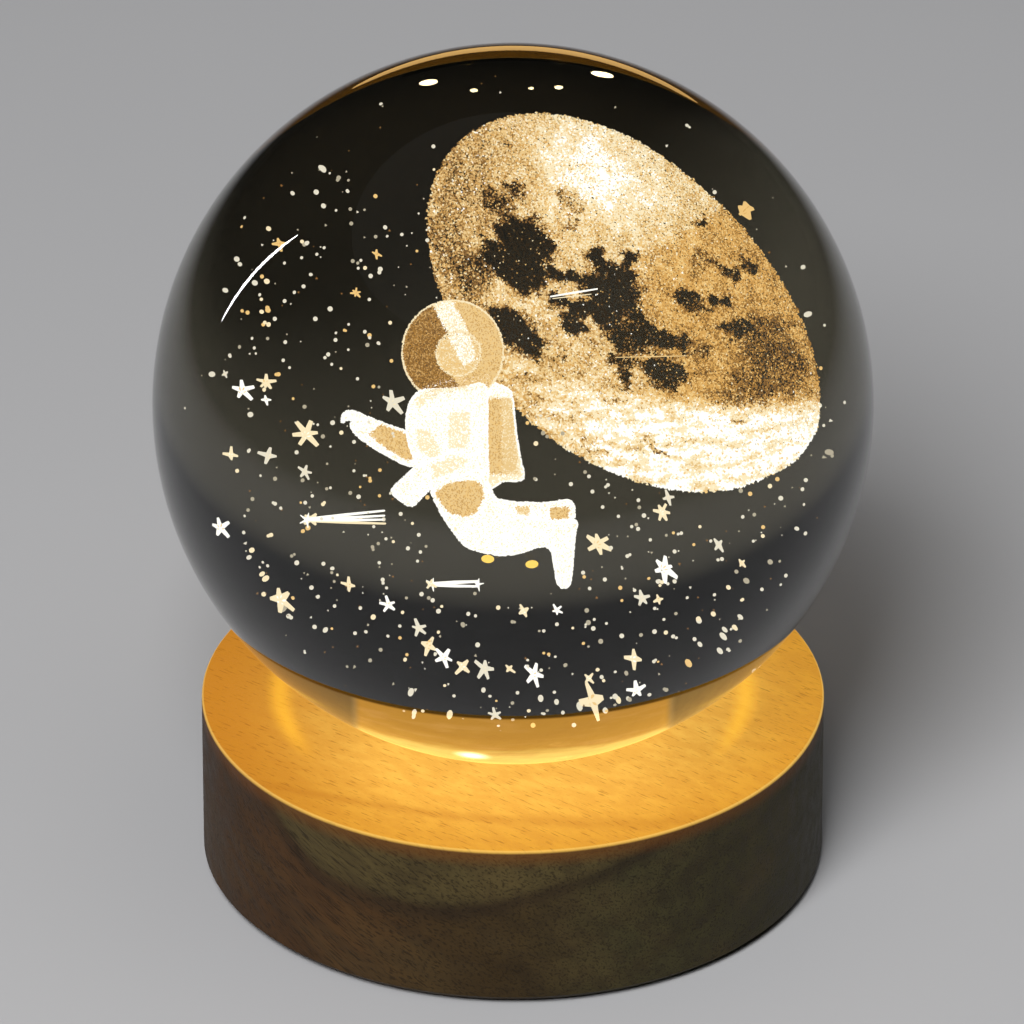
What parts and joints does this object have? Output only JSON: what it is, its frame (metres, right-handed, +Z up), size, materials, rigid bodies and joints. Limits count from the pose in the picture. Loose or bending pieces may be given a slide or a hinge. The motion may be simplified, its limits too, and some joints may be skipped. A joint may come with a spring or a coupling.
{
  "type": "crystal ball lamp",
  "caption": "Solid glass ball with a moon, a spaceman and stars engraved inside, resting on a round wooden base with lights under it, a socket and a push button at the back.",
  "frame": {"origin": "middle of the underside, on the plane that the feet stand on", "axes": "+Z up along the upright axis of the base and ball; -Y is the front that the picture looks at; +X to the right of that view; socket and button at the back, +Y"},
  "size_m": [0.08, 0.08, 0.0968],
  "materials": {
    "crystal": "polished",
    "engraving": "frosted",
    "wood": "satin",
    "light_board": "gloss",
    "power_board": "gloss",
    "screws": "satin",
    "led_housing": "matte",
    "led_phosphor": "gloss",
    "resistor": "matte",
    "socket_metal": "satin",
    "socket_plastic": "matte",
    "contact_metal": "satin",
    "switch_body": "matte",
    "switch_stem": "matte",
    "spring_steel": "satin",
    "button": "satin",
    "red_insulation": "satin",
    "black_insulation": "satin",
    "cover": "matte",
    "feet": "matte"
  },
  "bodies": {
    "base": {"wooden_base": "wood", "light_board": "light_board", "light_board_screws": "screws", "led_packages": "led_housing", "led_lenses": "led_phosphor", "led_resistors": "resistor", "power_board": "power_board", "power_board_screws": "screws", "power_resistors": "resistor", "usb_socket_shell": "socket_metal", "usb_socket_core": "socket_plastic", "usb_socket_contacts": "contact_metal", "switch_housing": "switch_body", "switch_spring": "spring_steel", "wire_red": "red_insulation", "wire_black": "black_insulation", "bottom_cover": "cover", "cover_screws": "screws", "rubber_feet": "feet"},
    "ball": {"crystal_ball": "crystal", "engraved_moon": "engraving", "engraved_astronaut": "engraving", "engraved_stars": "engraving", "engraved_star_dust": "engraving", "engraved_meteors": "engraving"},
    "button": {"switch_button": "button", "switch_plunger": "switch_stem"}
  },
  "joints": [
    {"name": "ball_lift", "type": "slide", "parent": "base", "child": "ball", "axis": [0, 0, 1], "range_m": [0, 0.06]},
    {"name": "button_press", "type": "slide", "parent": "base", "child": "button", "axis": [0, -1, 0], "range_m": [0, 0.002], "stiffness_N_per_m": 500, "springref_m": -0.001, "deforming": ["switch_spring"]}
  ]
}
